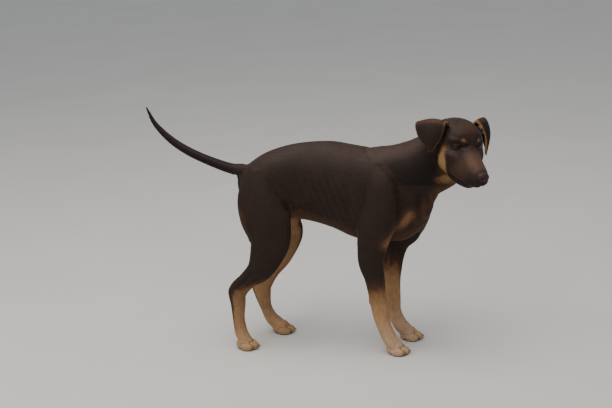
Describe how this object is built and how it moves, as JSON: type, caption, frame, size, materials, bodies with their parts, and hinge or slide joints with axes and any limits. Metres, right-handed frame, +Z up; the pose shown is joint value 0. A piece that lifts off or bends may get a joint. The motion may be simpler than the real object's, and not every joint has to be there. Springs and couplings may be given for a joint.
{
  "type": "dog",
  "caption": "Young short-coated dog, dark brown with tan points, standing with dropped ears, tail raised and head turned to its right.",
  "frame": {"origin": "on the floor below the middle of the dog's bounding box", "axes": "+X towards the chest, +Y to the dog's left, +Z up; the head is turned towards -Y"},
  "size_m": [0.7308, 0.1746, 0.5138],
  "materials": {
    "dark_coat": "short sleek dark brown hair",
    "tan_coat": "short sleek tan hair",
    "ear_coat": "very short dark brown hair with a tan rim",
    "eye": "wet, smooth and dark brown",
    "nose": "moist, finely pebbled liver brown",
    "claw": "smooth horn"
  },
  "bodies": {
    "root": {"head": "dark_coat", "neck": "dark_coat", "chest": "dark_coat", "loin": "dark_coat", "rump": "dark_coat", "tail_root": "dark_coat", "tail_middle": "dark_coat", "tail_tip": "dark_coat", "right_shoulder": "dark_coat", "left_shoulder": "dark_coat", "right_forearm": "tan_coat", "left_forearm": "tan_coat", "right_forepaw": "tan_coat", "left_forepaw": "tan_coat", "right_thigh": "dark_coat", "left_thigh": "dark_coat", "right_shank": "dark_coat", "left_shank": "dark_coat", "right_hock": "tan_coat", "left_hock": "tan_coat", "right_hindpaw": "tan_coat", "left_hindpaw": "tan_coat", "right_ear": "ear_coat", "left_ear": "ear_coat", "right_eye": "eye", "left_eye": "eye", "nose": "nose", "right_fore_claw_1": "claw", "right_fore_claw_2": "claw", "right_fore_claw_3": "claw", "right_fore_claw_4": "claw", "right_hind_claw_1": "claw", "right_hind_claw_2": "claw", "right_hind_claw_3": "claw", "right_hind_claw_4": "claw", "left_fore_claw_1": "claw", "left_fore_claw_2": "claw", "left_fore_claw_3": "claw", "left_fore_claw_4": "claw", "left_hind_claw_1": "claw", "left_hind_claw_2": "claw", "left_hind_claw_3": "claw", "left_hind_claw_4": "claw"}
  },
  "joints": []
}
